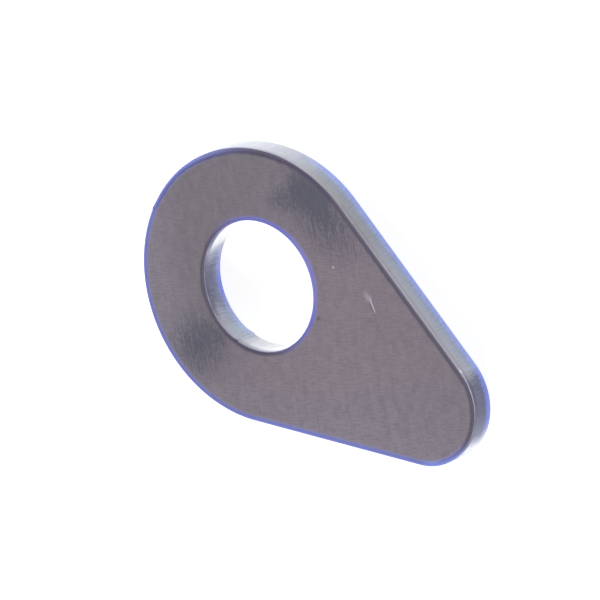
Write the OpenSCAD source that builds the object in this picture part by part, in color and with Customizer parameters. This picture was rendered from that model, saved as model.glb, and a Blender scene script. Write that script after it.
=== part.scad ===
// Teardrop weld washer: one flat piece of steel plate, profile cut, with one bolt hole in its round
// end. It is welded flat to a bracket to give a worn or slotted bolt hole a fresh, true bore.
// The plate lies on Z = 0. The hole's axis is Z, and the narrow end points along +X.

/* [Plate] */
// Thickness of the plate
plate_t = 3.04; // [2:0.02:8]
// Radius of the wide round end, which is concentric with the hole
head_r = 15; // [12:0.1:20]
// Radius of the narrow round end
tip_r = 6.6; // [4:0.1:9]
// Distance from the hole's axis to the centre of the narrow round end
tip_x = 22.9; // [18:0.1:40]

/* [Hole] */
// Diameter of the bolt hole
bore_d = 14.29; // [8:0.01:18]

/* [Cut edges] */
// Width of the broken edge where the cutting beam entered, on the upper face
top_edge = 0.1; // [0.05:0.01:0.4]
// Width of the broken edge where the beam left, on the lower face
bottom_edge = 0.1; // [0.05:0.01:0.4]
// How far the beam's start mark stands out of the wall that it was cut on
mark_h = 0.1; // [0.02:0.01:0.2]
// Radius of a start mark's rounded ridge
mark_r = 0.5; // [0.3:0.05:0.8]
// Direction of the mark on the outer wall, in degrees from the narrow end
outer_mark_a = 178.6; // [100:0.1:260]
// Direction of the mark in the hole, in degrees from the narrow end
bore_mark_a = 269.6; // [0:0.1:360]

/* [Hidden] */
$fn = 144;
bore_r = bore_d / 2;
// Direction of the flanks' normals: both flanks are tangent to the two round ends
flank_a = acos((head_r - tip_r) / tip_x);
flank_l = tip_x * sin(flank_a);
// The flanks lie this far inside the common tangent, so that they cross the round ends cleanly
flank_inset = 0.002;
// How far the cut shapes reach past both faces of the plate
cut_over = 1;

// Section from an axis out to a cut wall at radius r, past both faces of the plate.
// Its edges are broken inwards on the outline, where side is 1, and outwards in the hole, at -1.
module wall_section(r, side = 1) polygon([
    [0, -cut_over], [r - side * (bottom_edge + cut_over), -cut_over], [r, bottom_edge],
    [r, plate_t - top_edge], [r - side * (top_edge + cut_over), plate_t + cut_over],
    [0, plate_t + cut_over]
]);

// One side of the plate between the two round ends, from its flank in to the centre line
module flank() intersection() {
    rotate([0, 0, flank_a]) rotate([90, 0, 0]) linear_extrude(flank_l)
        wall_section(head_r - flank_inset);
    translate([0, 0, -cut_over]) cube([tip_x + tip_r, head_r, plate_t + 2 * cut_over]);
}

// Everything inside the teardrop outline, taller than the plate
module teardrop() {
    rotate_extrude() wall_section(head_r);
    translate([tip_x, 0, 0]) rotate_extrude() wall_section(tip_r);
    flank();
    mirror([0, 1, 0]) flank();
}

// The sheet that the washer is cut from, larger than the outline on all sides
module sheet() translate([-2 * head_r, -2 * head_r, 0])
    cube([2 * (head_r + tip_x), 4 * head_r, plate_t]);

// Ridge that the beam leaves across a wall where a cut starts, on the axis at radius r
module start_mark(r, a) rotate([0, 0, a]) translate([r, 0, bottom_edge / 2])
    cylinder(h = plate_t - (top_edge + bottom_edge) / 2, r = mark_r);

module weld_washer() color([0.51, 0.48, 0.51]) {
    difference() {
        intersection() {
            sheet();
            teardrop();
        }
        rotate_extrude() wall_section(bore_r, side = -1);
    }
    start_mark(head_r + mark_h - mark_r, outer_mark_a);
    start_mark(bore_r - mark_h + mark_r, bore_mark_a);
}

weld_washer();
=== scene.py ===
import math
import bmesh
import bpy
from mathutils import Matrix, Vector, noise


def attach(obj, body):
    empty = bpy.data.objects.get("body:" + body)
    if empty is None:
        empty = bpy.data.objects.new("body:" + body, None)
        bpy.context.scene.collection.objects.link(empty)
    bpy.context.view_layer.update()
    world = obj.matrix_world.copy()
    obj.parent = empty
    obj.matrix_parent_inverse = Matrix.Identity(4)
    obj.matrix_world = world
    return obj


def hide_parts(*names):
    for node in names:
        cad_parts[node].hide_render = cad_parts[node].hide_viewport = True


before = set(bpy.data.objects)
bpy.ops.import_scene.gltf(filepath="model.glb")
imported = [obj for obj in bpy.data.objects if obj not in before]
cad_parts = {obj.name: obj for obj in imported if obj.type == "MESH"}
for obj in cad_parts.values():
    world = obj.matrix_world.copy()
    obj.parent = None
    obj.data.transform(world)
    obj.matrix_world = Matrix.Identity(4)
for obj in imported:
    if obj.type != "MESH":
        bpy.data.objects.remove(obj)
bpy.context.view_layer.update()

MM = 0.001


# The camera of a product shot: far away behind a very long lens, so that the view is nearly parallel.
# It looks down on the washer, which lies flat, and is rolled until the washer seems to stand on its tip.
camera_right = Vector((0.74546, 0.31609, -0.58684))
camera_up = Vector((-0.54097, 0.80126, -0.25561))
camera_back = Vector((0.38942, 0.50801, 0.7683))
camera_place = Vector((369.235, 476.63, 721.27)) * MM
camera_data = bpy.data.cameras.new("product_lens")
camera_data.sensor_width = 36.0
camera_data.lens = 536.0
camera_data.clip_start = 0.05
camera_data.clip_end = 20.0
camera = bpy.data.objects.new("product_camera", camera_data)
camera_turn = Matrix((camera_right, camera_up, camera_back)).transposed()
camera.matrix_world = Matrix.Translation(camera_place) @ camera_turn.to_4x4()
bpy.context.collection.objects.link(camera)
bpy.context.scene.camera = camera


# Washer: one teardrop of rolled sheet steel with a bolt hole, cut out by a beam in one pass round the
# outline and one round the hole. The cut leaves fine striations across the walls, a broken arris on each
# face, a start mark on each wall and a rim of heat tint. It is welded on by its lower face.
PLATE_T = 3.04 * MM
HEAD_R = 15.0 * MM
TIP_R = 6.6 * MM
TIP_X = 22.9 * MM
BORE_R = 7.145 * MM
ARRIS = 0.04 * MM
# Row of faces beside each arris, which keeps the shading of the walls and the faces even up to it
SUPPORT = 0.03 * MM
# Ring of each face beside the walls: in it the distance from a wall is exact, and a start mark fades out
RING_W = 1.0 * MM
# Width of the walls' columns of faces, and the number of their even rows
COLUMN = 0.12 * MM
WALL_ROWS = 12
# Turn between two faces, in degrees, over which their edge is broken, and under which it shades smoothly
BROKEN_OVER = 60
SMOOTH_UNDER = 35
# Bead below the upper edge: height of its rows, how far it stands out, size of its lumps, direction that
# the walls with a bead face, and how closely they have to face it
BEAD_STEP = 0.12 * MM
BEAD_HEIGHT = 0.025 * MM
BEAD_LUMP = 0.5 * MM
BEAD_DIRECTION = (0.71, 0.71)
BEAD_NONE = 0.9125
BEAD_FULL = 0.9375
# Striations: depth, the share of it that is lost on the way up, and size of the noise that draws them
STRIA_DEPTH = 0.014 * MM
STRIA_LOSS = 0.7
STRIA_SIZE = (0.26 * MM, 0.26 * MM, 9 * MM)
# Start marks: length of cut over which one rises, how its rise bends, and length over which it drops
MARK_RISE = 1.1 * MM
MARK_BEND = 1.5
MARK_DROP = 0.13 * MM
# Each start mark: radius of its wall, direction in degrees, and how far it stands away from the axis
START_MARKS = ((HEAD_R, 179.4, 0.1 * MM), (BORE_R, 270.6, -0.14 * MM))
# Direction that the flanks face, which are tangent to both round ends
flank_a = math.acos((HEAD_R - TIP_R) / TIP_X)
tolerance = ARRIS / 10


def pick(kind, test):
    """Select the vertices, edges or faces of the mesh in edit mode that pass a test, and no others."""
    bpy.ops.mesh.select_mode(type=kind)
    bpy.ops.mesh.select_all(action="DESELECT")
    mesh = bmesh.from_edit_mesh(bpy.context.edit_object.data)
    for part in {"VERT": mesh.verts, "EDGE": mesh.edges, "FACE": mesh.faces}[kind]:
        if test(part):
            part.select_set(True)
    bmesh.update_edit_mesh(bpy.context.edit_object.data)


def columns_on(radius):
    """Number of columns of faces round a circle, a multiple of four."""
    return round(2 * math.pi * radius / COLUMN / 4) * 4


def on_tip_circle(vert):
    return abs(math.hypot(vert.co.x - TIP_X, vert.co.y) - TIP_R) < tolerance


def at_height(z):
    return lambda part: all(abs(vert.co.z - z) < tolerance for vert in part.verts)


# The outline: an arc of each round end, joined by the two flanks, and the hole's circle
bpy.ops.object.select_all(action="DESELECT")
bpy.ops.mesh.primitive_circle_add(vertices=columns_on(HEAD_R), radius=HEAD_R)
washer = bpy.context.object
washer.name = "washer_plate"
bpy.ops.object.mode_set(mode="EDIT")
pick("VERT", lambda v: abs(math.atan2(v.co.y, v.co.x)) < flank_a)
bpy.ops.mesh.delete(type="VERT")
bpy.ops.mesh.primitive_circle_add(vertices=columns_on(TIP_R), radius=TIP_R, location=(TIP_X, 0, 0))
pick("VERT", lambda v: on_tip_circle(v) and abs(math.atan2(v.co.y, v.co.x - TIP_X)) > flank_a)
bpy.ops.mesh.delete(type="VERT")
for y_sign in (1, -1):
    pick("VERT", lambda v: len(v.link_edges) == 1 and v.co.y * y_sign > 0)
    bpy.ops.mesh.edge_face_add()
    bpy.ops.mesh.subdivide(number_cuts=round(TIP_X * math.sin(flank_a) / COLUMN))
bpy.ops.mesh.primitive_circle_add(vertices=columns_on(BORE_R), radius=BORE_R)

# The walls rise row by row, each face is filled and gets its rings, and the arrises are broken
end_row = ARRIS + SUPPORT
even_row = (PLATE_T - 2 * end_row - 2 * BEAD_STEP) / WALL_ROWS
bpy.ops.mesh.select_all(action="SELECT")
for row in [end_row] + [even_row] * WALL_ROWS + [BEAD_STEP] * 2 + [end_row]:
    bpy.ops.mesh.extrude_edges_move(TRANSFORM_OT_translate={"value": (0, 0, row)})
for face_z in (0, PLATE_T):
    pick("EDGE", at_height(face_z))
    bpy.ops.mesh.fill(use_beauty=True)
    pick("FACE", at_height(face_z))
    bpy.ops.mesh.inset(thickness=end_row, use_even_offset=True)
    bpy.ops.mesh.inset(thickness=RING_W - end_row, use_even_offset=True)
bpy.ops.mesh.select_all(action="SELECT")
bpy.ops.mesh.normals_make_consistent(inside=False)
pick("EDGE", lambda e: len(e.link_faces) == 2 and e.calc_face_angle() > math.radians(BROKEN_OVER))
bpy.ops.mesh.bevel(offset=ARRIS, segments=3, affect="EDGES")
bpy.ops.object.mode_set(mode="OBJECT")


def nearest_wall(x, y):
    """Direction that the nearest cut wall faces, and how far the point is inside the steel."""
    from_axis = math.hypot(x, y)
    spine = x * math.sin(flank_a) - abs(y) * math.cos(flank_a)
    if spine < 0:
        out, depth = Vector((x, y)), HEAD_R - from_axis
    elif spine > TIP_X * math.sin(flank_a):
        out, depth = Vector((x - TIP_X, y)), TIP_R - math.hypot(x - TIP_X, y)
    else:
        out = Vector((math.cos(flank_a), math.copysign(math.sin(flank_a), y)))
        depth = HEAD_R - out.dot((x, y))
    if from_axis - BORE_R < depth:
        return -Vector((x, y)).normalized(), from_axis - BORE_R
    return out.normalized(), depth


def start_mark_rise(along):
    """Share of a start mark's height: it grows over a millimetre of cut and then drops off sharply."""
    if along < 0:
        return max(0.0, 1 + along / MARK_RISE) ** MARK_BEND
    return max(0.0, 1 - along / MARK_DROP)


# Each point of the mesh keeps the direction that the nearest wall faces and its distance in millimetres.
# The start marks and the bead are raised here, and the striations follow as a displacement.
cut_data = washer.data.attributes.new("cut", "FLOAT_VECTOR", "POINT")
wall_group = washer.vertex_groups.new(name="cut_wall")
bead_z = PLATE_T - end_row - BEAD_STEP
for vert, entry in zip(washer.data.vertices, cut_data.data):
    facing, depth = nearest_wall(vert.co.x, vert.co.y)
    entry.vector = (facing.x, facing.y, max(depth, 0) / MM)
    from_axis = math.hypot(vert.co.x, vert.co.y)
    for radius, angle, mark_height in START_MARKS:
        fade = 1 - abs(from_axis - radius) / RING_W
        turn = math.atan2(vert.co.y, vert.co.x) - math.radians(angle)
        turn = (turn + math.pi) % (2 * math.pi) - math.pi
        if fade > 0:
            vert.co.xy *= 1 + mark_height * start_mark_rise(turn * radius) * fade / from_axis
    if ARRIS < vert.co.z < PLATE_T - ARRIS:
        wall_group.add([vert.index], 1 - STRIA_LOSS * vert.co.z / PLATE_T, "REPLACE")
    if abs(vert.co.z - bead_z) < SUPPORT:
        lumps = 1 + noise.noise(vert.co / BEAD_LUMP)
        bead_share = (facing.dot(BEAD_DIRECTION) - BEAD_NONE) / (BEAD_FULL - BEAD_NONE)
        vert.co.xy += facing * BEAD_HEIGHT * lumps * min(1.0, max(0.0, bead_share))

stria_texture = bpy.data.textures.new("beam_striae", "CLOUDS")
stria_texture.noise_scale = 1.0
stria_texture.noise_depth = 2
stria_frame = bpy.data.objects.new("stria_frame", None)
stria_frame.scale = STRIA_SIZE
bpy.context.collection.objects.link(stria_frame)
bpy.context.view_layer.update()
stria_modifier = washer.modifiers.new("striae", "DISPLACE")
stria_modifier.texture = stria_texture
stria_modifier.texture_coords = "OBJECT"
stria_modifier.texture_coords_object = stria_frame
stria_modifier.vertex_group = wall_group.name
stria_modifier.mid_level = 1.0
stria_modifier.strength = STRIA_DEPTH
bpy.ops.object.modifier_apply(modifier=stria_modifier.name)
bpy.data.objects.remove(stria_frame)
bpy.ops.object.shade_smooth_by_angle(angle=math.radians(SMOOTH_UNDER))


def srgb(red, green, blue):
    """A colour given in the 0 to 255 numbers of a paint chart, as the linear values that Blender uses."""
    return tuple(((c / 255 + 0.055) / 1.055) ** 2.4 for c in (red, green, blue)) + (1.0,)


def add_node(tree, kind, inputs=None, **settings):
    """Add a node, set its properties, and set or link its inputs by name or number."""
    node = tree.nodes.new(kind)
    for name, value in settings.items():
        setattr(node, name, value)
    for key, value in (inputs or {}).items():
        if isinstance(value, bpy.types.NodeSocket):
            tree.links.new(value, node.inputs[key])
        else:
            node.inputs[key].default_value = value
    return node


def maths(tree, operation, *values, clamp=False):
    inputs = dict(enumerate(values))
    return add_node(tree, "ShaderNodeMath", inputs, operation=operation, use_clamp=clamp).outputs[0]


def product(tree, first, *others):
    """Product of two or more values, which for masks is the part that they share."""
    for other in others:
        first = maths(tree, "MULTIPLY", first, other)
    return first


def largest(tree, first, *others):
    for other in others:
        first = maths(tree, "MAXIMUM", first, other)
    return first


def opposite(tree, mask):
    return maths(tree, "SUBTRACT", 1.0, mask, clamp=True)


def vector_maths(tree, operation, inputs):
    return add_node(tree, "ShaderNodeVectorMath", inputs, operation=operation).outputs


def component(tree, vector, axis):
    return add_node(tree, "ShaderNodeSeparateXYZ", {"Vector": vector}).outputs[axis]


def ramp(tree, value, low, high, out_low=0.0, out_high=1.0):
    """Smooth step of a value from low to high."""
    inputs = {"Value": value, "From Min": low, "From Max": high, "To Min": out_low, "To Max": out_high}
    return add_node(tree, "ShaderNodeMapRange", inputs, interpolation_type="SMOOTHSTEP").outputs["Result"]


def below(tree, value, low, high):
    """Mask that is 1 up to the low value and fades out at the high one."""
    return ramp(tree, value, low, high, 1.0, 0.0)


def band(tree, value, start, full, fading, gone):
    """Mask of a range of values with soft borders."""
    return product(tree, ramp(tree, value, start, full), below(tree, value, fading, gone))


def towards(tree, vector, angle):
    """How far a vector reaches in a direction in the plane of the plate, given in degrees. For a place
    this is in millimetres, and for the way that a wall faces it is the cosine between the two."""
    direction = (math.cos(math.radians(angle)), math.sin(math.radians(angle)), 0)
    return vector_maths(tree, "DOT_PRODUCT", {0: vector, 1: direction})["Value"]


def side(tree, vector, angle, low, high, out_low=0.0, out_high=1.0):
    """Mask of what reaches far enough in a direction, or of the walls that face it closely enough. It
    grows from the low reach or cosine to the high one."""
    return ramp(tree, towards(tree, vector, angle), low, high, out_low, out_high)


def blend(tree, mask, under, over, mode="MIX"):
    """Lay the second colour over the first where the mask is 1."""
    inputs = {0: mask, 6: under, 7: over}
    return add_node(tree, "ShaderNodeMix", inputs, data_type="RGBA", blend_type=mode).outputs[2]


def tone(tree, mask, under, factor):
    """Multiply a colour by another one, or by a value, where the mask is 1."""
    return blend(tree, mask, under, factor, mode="MULTIPLY")


def colours_along(tree, value, stops):
    """Colour that changes with a value from 0 to 1, given as pairs of value and colour."""
    node = add_node(tree, "ShaderNodeValToRGB", {"Fac": value})
    for _ in stops[2:]:
        node.color_ramp.elements.new(1.0)
    for element, (position, stop_colour) in zip(node.color_ramp.elements, stops):
        element.position = position
        element.color = stop_colour
    return node.outputs["Color"]


def patch(tree, point, centre, turn, size):
    """Mask of a soft elliptic patch: 1 at its centre and 0 at its border."""
    inputs = {"Vector": point, "Location": centre, "Rotation": (0, 0, math.radians(turn)), "Scale": size}
    local = add_node(tree, "ShaderNodeMapping", inputs, vector_type="TEXTURE").outputs[0]
    gradient = add_node(tree, "ShaderNodeTexGradient", {"Vector": local}, gradient_type="SPHERICAL")
    return gradient.outputs["Fac"]


# Streaks: noise drawn out along one direction, as rolling leaves it on the faces and the beam on the
# walls
streak_group = bpy.data.node_groups.new("steel_streaks", "ShaderNodeTree")
STREAK_SOCKETS = (
    ("Point", "INPUT", "NodeSocketVector"), ("Turn", "INPUT", "NodeSocketVector"),
    ("Size", "INPUT", "NodeSocketVector"), ("Streaks", "OUTPUT", "NodeSocketFloat"))
for name, direction, kind in STREAK_SOCKETS:
    streak_group.interface.new_socket(name=name, in_out=direction, socket_type=kind)
streak_in = streak_group.nodes.new("NodeGroupInput").outputs
drawn = add_node(
    streak_group, "ShaderNodeMapping",
    {"Vector": streak_in["Point"], "Rotation": streak_in["Turn"], "Scale": streak_in["Size"]},
    vector_type="TEXTURE")
streak_noise = add_node(
    streak_group, "ShaderNodeTexNoise",
    {"Vector": drawn.outputs[0], "Scale": 1.0, "Detail": 3.0, "Roughness": 0.6})
streak_out = streak_group.nodes.new("NodeGroupOutput").inputs["Streaks"]
streak_group.links.new(streak_noise.outputs["Fac"], streak_out)


def streaks(tree, point, turn, size):
    """Streaks of a size in millimetres, turned in the plane of the plate by an angle in degrees."""
    inputs = {"Point": point, "Turn": (0, 0, math.radians(turn)), "Size": size}
    return add_node(tree, "ShaderNodeGroup", inputs, node_tree=streak_group).outputs["Streaks"]


def new_finish(name):
    material = bpy.data.materials.new(name)
    material.use_nodes = True
    tree = material.node_tree
    return material, tree, tree.nodes["Principled BSDF"]


def point_and_cut(tree):
    """The place in millimetres, and the stored direction and distance of the nearest wall."""
    coords = add_node(tree, "ShaderNodeTexCoord").outputs["Object"]
    point = vector_maths(tree, "SCALE", {0: coords, "Scale": 1 / MM})[0]
    return point, add_node(tree, "ShaderNodeAttribute", attribute_name="cut").outputs["Vector"]


# Rolled face: pinkish grey with a fine grain from the mill, mottled, with two dark patches. From here
# on places and sizes are in millimetres, and directions in degrees from the narrow end.
ROLLING = -56
FACE_Z = PLATE_T / MM
DARK_GRAIN = srgb(95, 89, 99)
face_steel, tree, shader = new_finish("rolled_steel_face")
point, cut = point_and_cut(tree)
grain = streaks(tree, point, ROLLING, (2.4, 0.2, 1.0))
weave = streaks(tree, point, ROLLING + 90, (1.2, 0.16, 1.0))
speckle = streaks(tree, point, 0, (0.2, 0.2, 1.0))
mottle = streaks(tree, point, ROLLING, (1.6, 0.9, 1.0))
cloud = streaks(tree, point, 0, (9.0, 9.0, 9.0))
# Broad tones with cloudy or soft borders, the last one from side to side of the narrow half
to_tip = maths(tree, "MULTIPLY_ADD", cloud, 14.0, towards(tree, point, 0))
to_flank = maths(tree, "MULTIPLY_ADD", cloud, 5.0, towards(tree, point, 128))
colour = blend(tree, ramp(tree, to_flank, -10.5, -7.5), srgb(118, 111, 120), srgb(121, 111, 120))
colour = blend(tree, ramp(tree, to_tip, 0.0, 19.0), srgb(109, 103, 111), colour)
colour = blend(tree, side(tree, point, 215, 8.0, 13.0, 0.0, 0.8), colour, srgb(122, 116, 127))
colour = blend(tree, side(tree, point, -68, 10.0, 13.5), colour, srgb(120, 113, 122))
across_tone = side(tree, point, -90, -8.0, 8.0, 0.95, 1.055)
colour = tone(tree, side(tree, point, 0, 8.0, 15.0), colour, across_tone)
# Mottling, grain, weave and speckle
colour = blend(tree, ramp(tree, mottle, 0.42, 0.72, 0.0, 0.12), colour, srgb(124, 116, 126))
colour = blend(tree, ramp(tree, mottle, 0.3, 0.45, 0.1, 0.0), colour, DARK_GRAIN)
colour = blend(tree, ramp(tree, grain, 0.45, 0.65, 0.0, 0.2), colour, DARK_GRAIN)
colour = blend(tree, ramp(tree, weave, 0.4, 0.62, 0.0, 0.36), colour, DARK_GRAIN)
colour = tone(tree, 1.0, colour, ramp(tree, speckle, 0.36, 0.64, 1.06, 0.96))
# Each dark patch: centre, turn, half-length and half-width, strength. None reaches the lower face.
DARK_PATCHES = (((3.8, 12.2), -22, (9.5, 6.2), 1.05), ((1.7, 13.0), -12, (3.5, 2.7), 1.1),
           ((-1.3, 10.3), 35, (3.2, 1.9), 0.6), ((-4.0, -10.3), 62, (6.2, 5.4), 1.1),
           ((-2.2, -8.1), 20, (2.4, 1.4), 0.4))
DARK_PATCH_REACH = 2.0
patch_streaks = streaks(tree, point, ROLLING, (2.4, 0.13, 1.0))
patch_streaks = maths(tree, "MULTIPLY_ADD", streaks(tree, point, 0, (0.35, 0.35, 1.0)), 0.5, patch_streaks)
patch_darkness = 0.0
for centre, turn, size, strength in DARK_PATCHES:
    spread = patch(tree, point, (*centre, FACE_Z), turn, (*size, DARK_PATCH_REACH))
    patch_darkness = maths(tree, "MULTIPLY_ADD", spread, strength, patch_darkness)
# Fine streaks along the grain break up a dark patch, most of all where it thins out
patch_darkness = product(tree, patch_darkness, ramp(tree, patch_streaks, 0.62, 0.88, 1.4, 0.6))
colour = blend(tree, ramp(tree, patch_darkness, 0.1, 1.15, 0.0, 0.92), colour, srgb(76, 76, 89))
# Scratch beside the middle, a bright fleck and a dark one: centre, turn, half-size, colour
FLECKS = (((12.4, 6.95), -25, (1.0, 0.5), srgb(138, 131, 141)),
          ((13.2, 6.25), -40, (0.8, 0.18), srgb(90, 84, 94)),
          ((13.3, 6.45), -38, (1.1, 0.16), srgb(172, 164, 174)),
          ((12.9, 6.9), -50, (0.6, 0.12), srgb(160, 152, 162)),
          ((7.4, 7.45), 0, (0.22, 0.2), srgb(166, 160, 170)),
          ((8.0, 1.2), 70, (0.5, 0.26), srgb(84, 86, 80)))
FLECK_REACH = 1.0
for centre, turn, size, fleck_colour in FLECKS:
    fleck = patch(tree, point, (*centre, FACE_Z), turn, (*size, FLECK_REACH))
    colour = blend(tree, ramp(tree, fleck, 0.0, 0.8, 0.0, 0.85), colour, fleck_colour)
# Heat tint beside the cut: dark indigo where the wall faces the front, and bright blue-violet where it
# faces the back, in this direction
BLUE_SIDE = 240


def hole_mask(tree, point):
    """1 at the hole and 0 at the outline."""
    return below(tree, vector_maths(tree, "LENGTH", {0: point})["Value"], 8.6, 12.0)


def blue_side_of(tree, cut, at_hole, depth):
    """Where the rim is bright blue: in the hole it starts further round and more gently, and it
    fades a little sooner away from the edge."""
    to_blue = towards(tree, cut, BLUE_SIDE)
    later = maths(tree, "MULTIPLY_ADD", to_blue, -0.35, -0.29)
    from_blue = maths(tree, "MULTIPLY_ADD", at_hole, later, to_blue)
    return ramp(tree, maths(tree, "MULTIPLY_ADD", depth, -0.15, from_blue), -0.65, 0.1)


edge_depth = maths(tree, "SUBTRACT", component(tree, cut, "Z"), 0.08)
rim_depth = maths(tree, "MULTIPLY_ADD", mottle, 0.16, edge_depth)
at_hole = hole_mask(tree, point)
at_outline = opposite(tree, at_hole)
# Where the rim is wider or narrower: place, direction that the wall faces, cosine where it starts, width
RIM_CHANGES = ((at_outline, 122, 0.8, 0.22), (at_outline, 70, 0.93, 0.1),
               (at_hole, 165, 0.9, -0.12), (at_hole, 203, 0.96, -0.05),
               (at_hole, 225, 0.93, 0.06), (at_hole, 293, 0.82, -0.12))
for place, angle, start, width in RIM_CHANGES:
    wider = product(tree, side(tree, cut, angle, start, 1.0, 0.0, width), place)
    rim_depth = maths(tree, "SUBTRACT", rim_depth, wider)
dark_rim = colours_along(tree, rim_depth, (
    (0.0, srgb(97, 92, 108)), (0.12, srgb(84, 79, 95)), (0.25, srgb(76, 72, 87)), (0.5, srgb(88, 82, 96))))
dark_rim = blend(tree, side(tree, cut, 100, 0.8, 0.96, 0.0, 0.5), dark_rim, srgb(65, 60, 85))
blue_rim = colours_along(tree, rim_depth, (
    (0.0, srgb(122, 129, 192)), (0.14, srgb(112, 118, 184)), (0.24, srgb(96, 102, 164)),
    (0.34, srgb(101, 106, 163)), (0.46, srgb(112, 113, 157)), (0.65, srgb(120, 116, 145))))
# The blue is a little more violet in the hole and deeper on two sides of it, and brightest under the
# narrow end
blue_rim = blend(tree, product(tree, at_hole, 0.45), blue_rim, srgb(121, 115, 184))
deep_blue = largest(tree, side(tree, cut, 170, 0.85, 0.97), side(tree, cut, 293, 0.8, 0.95))
blue_rim = tone(tree, product(tree, at_hole, deep_blue), blue_rim, srgb(232, 238, 254))
under_tip = product(tree, at_outline, side(tree, cut, -40, 0.86, 0.94, 0.0, 0.2))
blue_rim = blend(tree, under_tip, blue_rim, srgb(150, 170, 255))
colour_dark = blend(tree, below(tree, rim_depth, 0.22, 0.64), colour, dark_rim)
colour_blue = blend(tree, below(tree, rim_depth, 0.38, 0.85), colour, blue_rim)
colour = blend(tree, blue_side_of(tree, cut, at_hole, rim_depth), colour_dark, colour_blue)
# A dark seam along the inner side of the outline's blue, where it starts and under the narrow end
seam_part = largest(tree, side(tree, cut, 147, 0.93, 0.99), side(tree, cut, 160, 0.93, 0.98),
                    side(tree, cut, -32, 0.95, 0.99, 0.0, 0.7))
seam = product(tree, band(tree, rim_depth, 0.25, 0.38, 0.42, 0.6), seam_part, at_outline)
colour = tone(tree, seam, colour, srgb(204, 208, 222))
tree.links.new(colour, shader.inputs["Base Color"])
shader.inputs["Metallic"].default_value = 0.75
tree.links.new(ramp(tree, mottle, 0.3, 0.7, 0.42, 0.52), shader.inputs["Roughness"])
bump = add_node(tree, "ShaderNodeBump", {"Height": grain, "Strength": 0.25, "Distance": 0.02 * MM})
tree.links.new(bump.outputs[0], shader.inputs["Normal"])

# Cut wall: light oxide with striations across it, blue at the lower edge where the beam left. Where it
# faces the front it is darker, partly from dark oxide and mostly as painted shade, and beside that it has
# a thin bead under the upper arris with a painted highlight on it.
# Direction of the walls that are darker, partly from dark oxide and mostly as painted shade
SHADED_SIDE = 31
BEAD_SIDE = 45
# Near-white for the painted reflection and painted light on the walls
PAINTED_WHITE = srgb(250, 252, 255)
wall_steel, tree, shader = new_finish("beam_cut_wall")
point, cut = point_and_cut(tree)
in_bore = hole_mask(tree, point)
level = maths(tree, "DIVIDE", component(tree, point, "Z"), FACE_Z)
# The striations bend back from the beam on their way down, and at the lower face they lag by this much
LAG = 0.33
lag = product(tree, maths(tree, "POWER", opposite(tree, level), 2.0), -LAG)
along = vector_maths(tree, "CROSS_PRODUCT", {0: (0, 0, 1), 1: point})[0]
along = vector_maths(tree, "NORMALIZE", {0: along})[0]
along = vector_maths(tree, "SCALE", {0: along, "Scale": lag})[0]
lagged = vector_maths(tree, "ADD", {0: point, 1: along})[0]
fine = streaks(tree, lagged, 0, (0.15, 0.15, 2.6))
coarse = streaks(tree, lagged, 0, (0.9, 0.9, 1.6))
# Colours from the lower edge, at 0, to the upper one, at 1: plain, and where the lower edge is blue
colour = colours_along(tree, level, (
    (0.0, srgb(226, 230, 240)), (0.5, srgb(218, 222, 238)), (0.7, srgb(218, 222, 235)),
    (0.88, srgb(221, 221, 232)), (0.96, srgb(216, 214, 226)),
    (0.986, srgb(146, 143, 156)), (1.0, srgb(106, 102, 115))))
blue_edge = colours_along(tree, level, (
    (0.0, srgb(176, 190, 255)), (0.14, srgb(176, 190, 255)), (0.24, srgb(190, 205, 250)),
    (0.38, srgb(210, 222, 246)), (0.6, srgb(217, 225, 244))))
# The lower edge is blue on the front side, less so in part of the hole, and at the back, where the whole
# wall is greyer, as painted shade
back = side(tree, cut, BLUE_SIDE, -0.22, 0.2)
less_blue = product(tree, in_bore, side(tree, cut, 78, 0.8, 0.95))
blue = maths(tree, "MULTIPLY_ADD", less_blue, -0.25, side(tree, cut, 50, 0.56, 0.84), clamp=True)
blue = largest(tree, blue, product(tree, back, 0.7))
blue = product(tree, below(tree, level, 0.3, 0.7), blue)
colour = blend(tree, blue, colour, blue_edge)
blue_metal = product(tree, below(tree, level, 0.1, 0.36), blue)
# Painted shade: the whole wall at the back is made greyer
colour = tone(tree, back, colour, srgb(168, 167, 174))
blue_arris = product(tree, ramp(tree, level, 0.955, 0.98), blue_side_of(tree, cut, in_bore, 0.0))
colour = blend(tree, blue_arris, colour, srgb(108, 113, 172))
# Under the upper arris the heat tint also darkens the wall where it turns away from the front
tint_level = maths(tree, "MULTIPLY_ADD", in_bore, 0.07, level)
tint_right = product(tree, ramp(tree, tint_level, 0.77, 0.95), side(tree, cut, -27, 0.82, 0.96))
colour = blend(tree, tint_right, colour, srgb(92, 94, 138))
tint_left = product(tree, ramp(tree, level, 0.82, 0.94), side(tree, cut, 130, 0.75, 0.93))
colour = tone(tree, tint_left, colour, srgb(214, 214, 228))
# In the hole the wall has painted light near its lower edge on two sides, with a lighter strip on one
lower_edge_light = maths(tree, "ADD", side(tree, cut, 4, 0.86, 0.98, 0.0, 0.35),
             side(tree, cut, 79, 0.965, 0.995, 0.0, 0.05))
lower_edge_light = maths(tree, "MULTIPLY_ADD", less_blue, 0.08, product(tree, lower_edge_light, in_bore))
colour = blend(tree, product(tree, lower_edge_light, below(tree, level, 0.1, 0.6)), colour, PAINTED_WHITE)
lighter_strip = product(tree, in_bore, side(tree, cut, 81, 0.98, 1.0), below(tree, level, 0.75, 0.95))
colour = tone(tree, lighter_strip, colour, srgb(266, 272, 266))
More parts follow.
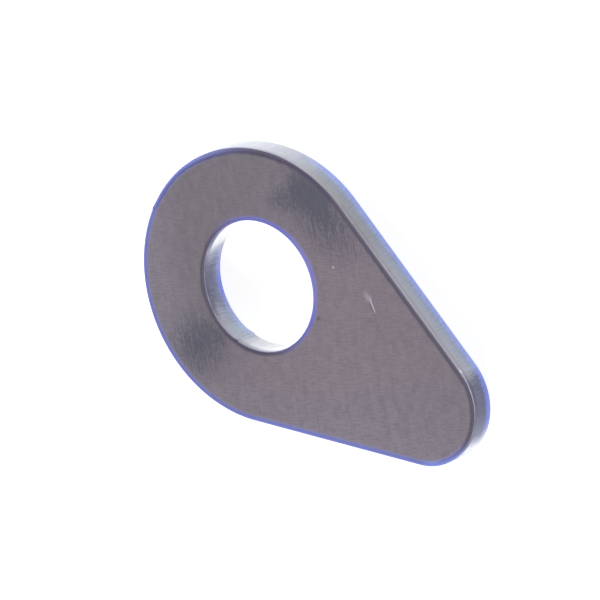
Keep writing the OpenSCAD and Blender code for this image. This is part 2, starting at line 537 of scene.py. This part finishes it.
# Two sides carry a painted reflection of the white surroundings, in the hole far more than on the outline
painted_reflection = largest(tree, side(tree, cut, 117, 0.85, 0.99), side(tree, cut, -15, 0.944, 0.99))
painted_reflection = product(tree, painted_reflection, maths(tree, "MULTIPLY_ADD", in_bore, 0.8, 0.2))
painted_reflection = product(tree, painted_reflection, below(tree, level, 0.7, 0.84))
colour = blend(tree, painted_reflection, colour, PAINTED_WHITE)
# Where the outline turns into the flank the wall is duller
dull = ramp(tree, patch(tree, point, (6.0, 14.0, 1.5), 0, (8.0, 8.0, 8.0)), 0.0, 0.6)
colour = tone(tree, product(tree, dull, ramp(tree, level, 0.2, 0.5)), colour, srgb(233, 231, 229))
# The striations fade out upwards, unevenly, and are weaker right at the lower edge
striae = ramp(tree, maths(tree, "SUBTRACT", product(tree, coarse, 1.6), level), -0.3, 0.8)
striae = product(tree, striae, ramp(tree, level, 0.0, 0.2, 0.3, 1.0))
colour = tone(tree, striae, colour, ramp(tree, fine, 0.35, 0.7, 1.08, 0.84))
# The bead shades the wall below it, but hardly at all in the hole where the wall faces the front
bead = product(tree, side(tree, cut, BEAD_SIDE, 0.9, 0.93), side(tree, cut, 68, 0.7, 0.95, 0.35, 1.0))
no_shade = product(tree, in_bore, towards(tree, cut, 58))
shade = band(tree, level, 0.7, 0.8, 0.86, 0.9)
shade = product(tree, shade, ramp(tree, no_shade, 0.93, 0.99, 1.0, 0.1))
colour = tone(tree, product(tree, bead, shade), colour, srgb(226, 224, 232))
bead = product(tree, bead, band(tree, level, 0.903, 0.928, 0.94, 0.962))
# Front-facing zones at the narrow end and in the hole, ragged at the border: painted shade, some dark
# oxide
at_tip = side(tree, point, 0, 23.5, 25.5)
ragged = maths(tree, "MULTIPLY_ADD", coarse, 0.08, -0.04)
oxide_and_shade_tip = maths(tree, "ADD", towards(tree, cut, SHADED_SIDE - 5), ragged)
oxide_and_shade_tip = product(tree, ramp(tree, oxide_and_shade_tip, 0.74, 0.93), at_tip)
ragged = maths(tree, "ADD", ragged, ramp(tree, level, 0.6, 0.9, 0.0, 0.06))
oxide_and_shade_bore = maths(tree, "ADD", towards(tree, cut, SHADED_SIDE + 1), ragged)
oxide_and_shade_bore = product(tree, ramp(tree, oxide_and_shade_bore, 0.86, 1.0), opposite(tree, at_tip))
oxide_and_shade_zone = maths(tree, "ADD", oxide_and_shade_tip, oxide_and_shade_bore)
# Painted shade below the bead, deeper in these zones
shade_under_bead = product(tree, band(tree, level, 0.82, 0.87, 0.895, 0.915), oxide_and_shade_zone)
colour = tone(tree, shade_under_bead, colour, srgb(234, 233, 240))
# The zones darken the wall except on the bead, mostly as painted shade
no_bead = opposite(tree, bead)
oxide_and_shade_bore = product(tree, oxide_and_shade_bore, ramp(tree, level, 0.05, 0.6, 0.25, 1.0), no_bead)
colour = tone(tree, oxide_and_shade_bore, colour, srgb(186, 182, 200))
oxide_and_shade_tip = product(tree, oxide_and_shade_tip, ramp(tree, level, 0.05, 0.38, 0.3, 1.0), no_bead)
colour = tone(tree, oxide_and_shade_tip, colour, srgb(162, 161, 180))
# Chatter: short ridges where the cut turned, in patches with these centres and half-sizes
CHATTER = (((27.0, 5.2, 1.3), (2.4, 2.4, 1.4)), ((-6.9, -1.7, 1.7), (1.3, 1.3, 1.6)),
           ((-4.6, -5.4, 1.6), (2.1, 2.1, 1.6)))
chatter = 0.0
for centre, size in CHATTER:
    chatter = maths(tree, "ADD", patch(tree, point, centre, 0, size), chatter)
chatter = product(tree, ramp(tree, chatter, 0.0, 0.4), ramp(tree, level, 0.08, 0.25))
ridges = streaks(tree, lagged, 0, (0.15, 0.15, 1.3))
colour = tone(tree, chatter, colour, ramp(tree, ridges, 0.4, 0.6, 1.14, 0.85))
# A painted highlight lies along the bead in a row of dots, which join up at the narrow end
dots = ramp(tree, streaks(tree, point, 0, (0.3, 0.3, 4.0)), 0.5, 0.6)
dots = product(tree, dots, maths(tree, "MULTIPLY_ADD", at_tip, 0.35, 0.65))
dots = largest(tree, dots, product(tree, at_tip, 0.55))
bead_highlight = product(tree, bead, dots)
colour = blend(tree, bead_highlight, colour, srgb(240, 238, 246))
# A painted highlight where the bead starts, at the point where the flank runs into the narrow end
bead_start_highlight = ramp(tree, patch(tree, point, (25.45, 6.1, 2.78), 0, (0.32, 0.32, 0.2)), 0.0, 0.5)
colour = blend(tree, bead_start_highlight, colour, srgb(250, 250, 255))
# The lower edge is the deepest blue in the front-facing zones, darkened partly as painted shade
shaded_blue = product(tree, blue_metal, oxide_and_shade_zone)
colour = tone(tree, shaded_blue, colour, srgb(224, 222, 249))
tree.links.new(colour, shader.inputs["Base Color"])
# Blue tint, painted reflections and painted highlights mirror more than oxide does
mirror = largest(tree, blue_metal, painted_reflection, bead_start_highlight, bead_highlight)
mirror = maths(tree, "MULTIPLY_ADD", shaded_blue, 0.6, mirror)
tree.links.new(maths(tree, "MULTIPLY_ADD", mirror, 0.4, 0.2), shader.inputs["Metallic"])
shader.inputs["Roughness"].default_value = 0.45
bump = add_node(tree, "ShaderNodeBump", {"Height": fine, "Strength": 0.4, "Distance": 0.03 * MM})
tree.links.new(bump.outputs[0], shader.inputs["Normal"])

# Only what is level has the rolled face's finish, so the arrises have the cut wall's
LEVEL_NORMAL = 0.95
washer.data.materials.append(face_steel)
washer.data.materials.append(wall_steel)
for polygon in washer.data.polygons:
    polygon.material_index = 0 if abs(polygon.normal.z) > LEVEL_NORMAL else 1
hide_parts("weld_washer")
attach(washer, "root")


# Studio: a plain white floor and the white world behind it, which keep the washer's soft shadow. Both
# show as plain white to the camera and in reflections, and give only a little light otherwise. Four
# soft lamps light the washer, mainly from the left and the right.
FLOOR_SIZE = 6.0
FLOOR_DROP = 0.02 * MM
FLOOR_GLOW = 0.8
WORLD_LIGHT = 0.26


def seen_directly(tree):
    """1 for rays from the camera and those that a surface mirrors or lets through, and 0 for others."""
    rays = add_node(tree, "ShaderNodeLightPath").outputs
    seen = maths(tree, "ADD", rays["Is Camera Ray"], rays["Is Glossy Ray"])
    return maths(tree, "ADD", seen, rays["Is Transmission Ray"], clamp=True)


bpy.ops.object.select_all(action="DESELECT")
bpy.ops.mesh.primitive_plane_add(size=FLOOR_SIZE, location=(0, 0, -FLOOR_DROP))
floor = bpy.context.object
floor.name = "studio_floor"
floor_paint, tree, shader = new_finish("white_floor")
shader.inputs["Base Color"].default_value = (0.5, 0.5, 0.5, 1)
shader.inputs["Roughness"].default_value = 0.9
shader.inputs["Specular IOR Level"].default_value = 0.0
glow_strength = product(tree, seen_directly(tree), FLOOR_GLOW)
glow = add_node(tree, "ShaderNodeEmission", {"Strength": glow_strength})
both = add_node(tree, "ShaderNodeAddShader", {0: shader.outputs[0], 1: glow.outputs[0]})
tree.links.new(both.outputs[0], tree.nodes["Material Output"].inputs["Surface"])
floor.data.materials.append(floor_paint)

world = bpy.data.worlds.new("white_studio")
bpy.context.scene.world = world
world.use_nodes = True
tree = world.node_tree
background = tree.nodes["Background"]
background.inputs["Color"].default_value = (1, 1, 1, 1)
world_strength = ramp(tree, seen_directly(tree), 0.0, 1.0, WORLD_LIGHT, 1.0)
tree.links.new(world_strength, background.inputs["Strength"])

# Each soft lamp: name, azimuth and elevation in degrees, distance and size in metres, power in watts
SOFTBOXES = (
    ("top_softbox", 52, 85, 1.2, (1.2, 1.2), 1.2), ("left_softbox", 186, 20, 1.0, (0.4, 0.3), 11.0),
    ("back_softbox", 135, 20, 1.0, (0.4, 0.3), 1.0), ("right_softbox", -66, 20, 1.0, (0.3, 0.3), 12.0))
washer_middle = Vector((TIP_X / 2, 0, 0))
for name, azimuth, elevation, distance, size, power in SOFTBOXES:
    lamp_data = bpy.data.lights.new(name, "AREA")
    lamp_data.shape = "RECTANGLE"
    lamp_data.size, lamp_data.size_y = size
    lamp_data.energy = power
    lamp = bpy.data.objects.new(name, lamp_data)
    flat = math.cos(math.radians(elevation)) * distance
    direction = Vector((flat * math.cos(math.radians(azimuth)), flat * math.sin(math.radians(azimuth)),
                        distance * math.sin(math.radians(elevation))))
    lamp.location = washer_middle + direction
    lamp.rotation_euler = direction.to_track_quat("Z", "Y").to_euler()
    lamp.visible_camera = False
    bpy.context.collection.objects.link(lamp)

bpy.context.scene.view_settings.view_transform = "Standard"
